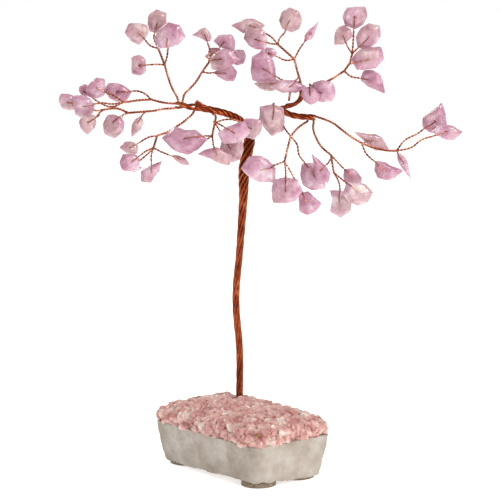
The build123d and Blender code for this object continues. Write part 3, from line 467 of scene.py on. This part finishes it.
# Sprays: for each, the routes of its stems from the limb to its forks, and for each chip the route of
# its twig, the chip's drilled hole, how far its edge and its two faces lie from the hole towards the
# twig, and the chip's yaw and pitch in degrees; all in millimetres
sprays = {
    "upper_left": {
        "stems": [[(-27.4, 8.5, 123.7), (-27.4, 8.6, 124.6), (-29.4, 10, 128.5), (-30.7, 11.5, 131.8), (-32, 13, 136.2)],
                  [(-32, 13, 136.2), (-33.2, 13.5, 139.2), (-34.2, 14, 141.6)]],
        "twigs": [
            ([(-34.2, 14, 141.6), (-36.7, 13.5, 142.5)], (-40.7, 12, 146.9), 2.4, 2.9, 0, 8),
            ([(-34.2, 14, 141.6), (-35.7, 15.5, 145.3)], (-34.7, 16.5, 150), 2.9, 2.8, 9, 4),
            ([(-32, 13, 136.2), (-31.1, 12.3, 139.2)], (-30.4, 11, 145.6), 3.3, 3.6, -14, -10),
            ([(-32, 13, 136.2), (-35, 13, 136.3)], (-40.4, 13, 136), 2.1, 2.8, 0, 0),
        ],
    },
    "inner_left": {
        "stems": [[(-26.2, 8.2, 123.7), (-26, 8.8, 124), (-25.2, 10.9, 126.6), (-23.6, 11.6, 128.2), (-21.4, 12.5, 130.6), (-19.4, 13.5, 133.8)],
                  [(-19.4, 13.5, 133.8), (-16.7, 14, 137.5)]],
        "twigs": [
            ([(-16.7, 14, 137.5), (-16.9, 14, 141.5)], (-18.4, 13, 146), 2.0, 2.0, -2, 10),
            ([(-16.7, 14, 137.5), (-15, 15.8, 140.2)], (-11.7, 16.5, 143.8), 2.3, 2.5, -8, -1),
            ([(-16.7, 14, 137.5), (-17.6, 17.6, 138.2)], (-15.4, 20.5, 140), 2.2, 1.8, 14, -10),
            ([(-16.7, 14, 137.5)], (-12.4, 11, 138.2), 3.8, 3.2, -12, 3),
            ([(-16.7, 14, 137.5), (-13.6, 17.2, 137.6)], (-7.7, 17.5, 138.4), 2.5, 2.2, 5, 9),
            ([(-19.4, 13.5, 133.8), (-17, 14, 133.3)], (-11.7, 15.2, 133.4), 3.6, 2.5, 5, -6),
        ],
    },
    "left_tip": {
        "stems": [[(-28.2, 8.5, 123.5), (-29, 8.5, 123.5), (-32.4, 7.7, 123.9), (-36.4, 7, 125)],
                  [(-36.4, 7, 125), (-40.7, 5.5, 124.8), (-45.4, 4, 124.2)]],
        "twigs": [
            ([(-36.4, 7, 125), (-38.4, 7.6, 126.8), (-41, 8.2, 127.7)], (-47.7, 8.6, 127.4), 3.9, 2.9, 0, 0),
            ([(-45.4, 4, 124.2), (-48.4, 3.7, 126.4)], (-54.4, 4.5, 129), 3.2, 3.0, 13, 8),
            ([(-45.4, 4, 124.2), (-49.5, 6, 122.6), (-54, 8.2, 124)], (-59, 9.4, 127.6), 2.4, 1.9, -7, 6),
            ([(-45.4, 4, 124.2), (-49.2, 1.6, 123.9), (-52.4, 1, 124.3)], (-58.4, 1.3, 123.4), 3.1, 3.2, -3, -9),
        ],
    },
    "lower_left_tip": {
        "stems": [[(-28.2, 7.6, 122), (-28.8, 7.1, 122), (-32.4, 5.5, 121.9), (-35.4, 4.1, 121.4), (-38, 3, 121.3)],
                  [(-38, 3, 121.3), (-43.6, 1, 121)],
                  [(-43.6, 1, 121), (-47.6, -0.4, 122.6), (-52, -1.2, 122.2)]],
        "twigs": [
            ([(-38, 3, 121.3)], (-41, 3.5, 117.6), 2.2, 2.3, 11, -3),
            ([(-43.6, 1, 121)], (-48, -1.5, 117.8), 2.9, 3.5, -14, 10),
            ([(-52, -1.2, 122.2), (-53.6, -2.4, 120.2)], (-57, -3.2, 118.2), 3.5, 2.9, 9, 1),
            ([(-52, -1.2, 122.2), (-54.4, 2, 121.6), (-58, 4.8, 122.6)], (-64, 5.2, 124.5), 3.4, 2.9, 1, -10),
        ],
    },
    "low_left": {
        "stems": [[(-22, 7.6, 121.7), (-22.1, 7.1, 120.9), (-24.4, 4.2, 118.6), (-27.4, 1.4, 116.6), (-30.7, -0.8, 114.8), (-34, -2, 113.7)],
                  [(-34, -2, 113.7), (-35.2, -3, 109.8)]],
        "twigs": [
            ([(-34, -2, 113.7), (-36.8, -2.2, 113.2)], (-42.7, -3, 109.8), 2.5, 2.6, -10, 2),
            ([(-35.2, -3, 109.8), (-37.6, -5, 108.9)], (-42.4, -8, 105.6), 3.2, 3.2, 14, 10),
            ([(-35.2, -3, 109.8), (-37, 0.5, 107.6)], (-43, 1.6, 102.6), 2.7, 2.3, -11, -4),
            ([(-35.2, -3, 109.8), (-35.9, -3.3, 107.4)], (-36, -3.4, 102), 2.4, 3.1, 2, -8),
            ([(-35.2, -3, 109.8), (-32.4, -3.8, 108.4)], (-26.4, -4.5, 106), 3.2, 1.9, 8, 6),
        ],
    },
    "front_left": {
        "stems": [[(-15.6, 7.2, 121), (-15.8, 6.6, 120.4), (-14.8, 3.6, 119.7), (-15, 0, 117.8)],
                  [(-15, 0, 117.8), (-15.8, -3.5, 113.8)]],
        "twigs": [
            ([(-15.8, -3.5, 113.8)], (-24.4, -7, 113.1), 5.5, 4.1, -14, 7),
            ([(-15.8, -3.5, 113.8), (-19, -1, 111.6)], (-24, -0.6, 109.6), 2.5, 2.1, 12, -8),
            ([(-15.8, -3.5, 113.8)], (-14, -9.2, 108.2), 2.3, 2.9, -4, -5),
            ([(-15, 0, 117.8), (-13.2, -2, 115.2)], (-9.4, -4, 109.2), 3.7, 3.1, -6, 9),
            ([(-15, 0, 117.8), (-14.9, -6.2, 118.6)], (-8.7, -9, 115.3), 3.0, 3.2, 13, 2),
            ([(-15, 0, 117.8), (-11.7, 0.4, 118.8), (-7.8, -0.2, 118.6)], (-2.4, -0.6, 116.2), 3.2, 2.8, -13, -10),
        ],
    },
    "centre": {
        "stems": [],
        "twigs": [
            ([(4.5, 8.2, 121), (4.3, 7.8, 121.8), (4.3, 5.4, 123.3)], (4, 3.2, 118.8), 4.1, 3.7, 7, 0),
        ],
    },
    "upper_right": {
        "stems": [[(13.8, 10.1, 126.5), (13.9, 10.4, 127.3), (13.7, 11.5, 130.4)],
                  [(13.7, 11.5, 130.4), (12.8, 12.9, 133.4), (11.6, 14, 138)],
                  [(11.6, 14, 138), (9.4, 14, 140), (6, 13.5, 143)],
                  [(10.2, 8.6, 128.4), (10, 7.4, 126.6), (9.7, 7.2, 124.5)]],
        "twigs": [
            ([(6, 13.5, 143), (3.6, 14.4, 145.6)], (-3.4, 15.5, 149.2), 3.6, 2.8, 4, 10),
            ([(6, 13.5, 143)], (-1.4, 11, 145), 3.7, 3.1, -12, -3),
            ([(11.6, 14, 138), (8.8, 14.2, 137.6)], (3, 14.6, 139.9), 2.6, 2.2, 0, 0),
            ([(13.7, 11.5, 130.4), (8, 11, 131)], (1.3, 10.4, 135), 4.3, 3.8, -9, 5),
            ([(13.7, 11.5, 130.4), (11.4, 13.8, 129.8)], (3.3, 14.4, 129.7), 4.8, 2.7, -1, 8),
            ([(13.7, 11.5, 130.4), (13, 9, 132.4)], (9.6, 8, 129.2), 2.7, 2.8, 10, -7),
            ([(6, 13.5, 143), (6.6, 13, 144.9), (8.2, 12.3, 146.8)], (10.3, 11.5, 151.2), 3.5, 3.1, -14, -6),
            ([(11.6, 14, 138), (13.4, 14.6, 141.4)], (17, 15, 146.6), 3.3, 1.9, 0, 0),
        ],
    },
    "far_upper_right": {
        "stems": [[(14.5, 10.3, 126.4), (15.2, 10.1, 126.6), (18.3, 9.6, 129)],
                  [(18.3, 9.6, 129), (23.3, 10, 131.2), (28.3, 11, 134.2)],
                  [(28.3, 11, 134.2), (30.2, 11.6, 136.8)],
                  [(30.2, 11.6, 136.8), (31, 12, 140)]],
        "twigs": [
            ([(18.3, 9.6, 129), (16.6, 5.2, 130)], (16.6, 2.4, 126.6), 2.6, 2.4, -1, 4),
            ([(18.3, 9.6, 129)], (21, 6, 127.6), 3.6, 3.3, -8, -10),
            ([(31, 12, 140), (31.3, 12.6, 144)], (31.7, 13, 152.2), 3.4, 3.1, 0, 0),
            ([(31, 12, 140), (29.7, 10.3, 141.8)], (28, 9, 146), 2.2, 2.5, -12, 10),
            ([(31, 12, 140)], (36.3, 11, 145.6), 4.2, 3.3, 4, -1),
            ([(30.2, 11.6, 136.8)], (36, 7, 138.4), 4.6, 3.6, 0, 0),
            ([(28.3, 11, 134.2), (30.6, 10.4, 132.4)], (37.7, 9.5, 131.1), 3.5, 2.9, -13, 4),
        ],
    },
    "far_right": {
        "stems": [[(18.5, 8.4, 119.2), (19.3, 8.2, 119), (24.6, 7, 117), (27, 6.5, 115.2), (30.2, 6, 112.8), (34, 5.5, 110.5)],
                  [(34, 5.5, 110.5), (38.2, 4.8, 109), (42, 4.4, 108.2), (45.6, 4, 108)]],
        "twigs": [
            ([(34, 5.5, 110.5)], (37.6, 9.2, 110.9), 2.4, 2.9, 13, 9),
            ([(34, 5.5, 110.5), (35.6, 4.2, 107)], (42, 3, 101.6), 3.7, 2.9, -6, -6),
            ([(45.6, 4, 108)], (48, 7, 103.8), 3.8, 2.1, 0, 0),
            ([(45.6, 4, 108), (48.6, 6.2, 111.4), (53, 7.4, 113.6)], (58.6, 8, 117.6), 3.7, 3.4, 0, 0),
            ([(45.6, 4, 108), (50.6, 2.6, 109.4), (53.8, 3.2, 111.8)], (62, 3.4, 114.4), 3.7, 3.1, 0, 0),
        ],
    },
    "low_right": {
        "stems": [[(15.9, 7.5, 118.6), (16, 6.8, 118), (14.8, 4, 117.3), (12.4, 1, 115.8), (10.2, -1, 113.4)],
                  [(10.2, -1, 113.4), (9.2, -3, 110), (8.1, -4.5, 105.4)]],
        "twigs": [
            ([(8.1, -4.5, 105.4)], (0, -7, 103.4), 4.0, 3.9, 8, -9),
            ([(8.1, -4.5, 105.4), (8.4, -6.6, 102.6)], (8.3, -8.4, 96.2), 3.6, 3.8, 2, -3),
            ([(8.1, -4.5, 105.4), (10.4, -3.8, 101.4), (12.2, -3.2, 98)], (16, -3, 91.4), 3.6, 3.0, -11, 10),
            ([(10.2, -1, 113.4), (12.3, -1.5, 110.6), (12.9, -2, 107.4)], (17.3, -2.5, 100.5), 4.2, 3.4, 14, 0),
        ],
    },
    "low_outer_right": {
        "stems": [[(17.9, 7.5, 118.5), (18, 6.7, 117.8), (17.8, 5, 115.4), (18.7, 3.6, 112.6), (20.5, 2.2, 109.6), (23.6, 1, 107)],
                  [(23.6, 1, 107), (24.6, 0, 101.2)]],
        "twigs": [
            ([(23.6, 1, 107), (23.4, -2.6, 106.2)], (20, -6.6, 102.9), 1.8, 2.6, -10, -10),
            ([(23.6, 1, 107), (25.9, 2.5, 104.4)], (31, 4.6, 99), 3.4, 2.6, 1, 2),
            ([(24.6, 0, 101.2), (26.8, -0.6, 99.4)], (32.3, -1.2, 94.6), 4.0, 3.4, 9, 9),
            ([(24.6, 0, 101.2), (26.4, 2.4, 97.6)], (27, 4.2, 91), 2.9, 3.3, -14, -5),
        ],
    },
}
stone_grow = {"low_left": 1.08, "lower_left_tip": 1.08, "left_tip": 1.2, "b4": 1.15, "j2": 1.15, "cc": 1.15}
spray_holes = {}
for name, spray in sprays.items():
    twigs, loops, holes = [], [], []
    for route, hole, edge, thick, yaw, pitch in spray["twigs"]:
        yaw, pitch, hole = math.radians(yaw), math.radians(pitch), Vector(hole)
        east = Vector((math.cos(yaw), math.sin(yaw), 0))
        back = Vector((-math.sin(yaw), math.cos(yaw), 0))
        out = east.cross(back * math.sin(pitch) + Vector((0, 0, math.cos(pitch))))
        away = Vector(route[-1]) - hole
        away = (away - out * away.dot(out)).normalized()
        neck, shoulder, face = hole + away * (edge + 1.1), hole + away * edge * 0.78, out * (thick / 2 + 0.36)
        holes.append((hole, out))
        twigs.append([*route, neck, neck - away * 0.1])
        loops.append([neck + out * 0.17, shoulder + face, hole + face, hole - face, shoulder - face, neck - out * 0.17])
    parts = [wound(f"{name}_twigs", twigs, 2, 0.00018, 0.00018, 0.0024, painted_highlight_copper), wound(f"{name}_loops", loops, 1, 0.0, 0.00018, 1.0, painted_highlight_copper, "VECTOR")]
    if spray["stems"]:
        parts.append(wound(f"{name}_stems", spray["stems"], 3, 0.00022, 0.0002, 0.0032, painted_highlight_copper))
    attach(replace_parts(joined(*parts), f"{name}_wires"), f"{name}_spray")
    polished(f"{name}_stones", f"{name}_spray", f"{name}_chips", holes, 0.25, stone_grow.get(name, 1.3))
    spray_holes[name] = holes
link = wound("low_right_link", [[(7.3, 8.0, 120.4), (7.5, 4.5, 117.4), (8.6, 1.2, 115.2), (10.2, -1.0, 113.4)]],
             2, 0.00018, 0.00018, 0.0024, painted_highlight_copper)
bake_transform(link)
for chip, name in (("b4", "upper_left"), ("e5", "left_tip"), ("cc", "upper_right"), ("ci", "upper_right"),
                   ("d1", "far_upper_right"), ("d4", "far_upper_right"), ("j1", "far_right"), ("j2", "far_right"),
                   ("j3", "far_right")):
    polished(f"swinging_stone_{chip}", f"loose_chip_{chip}", f"loose_chip_{chip}", spray_holes[name], 0.55,
             stone_grow.get(chip, 1.3))
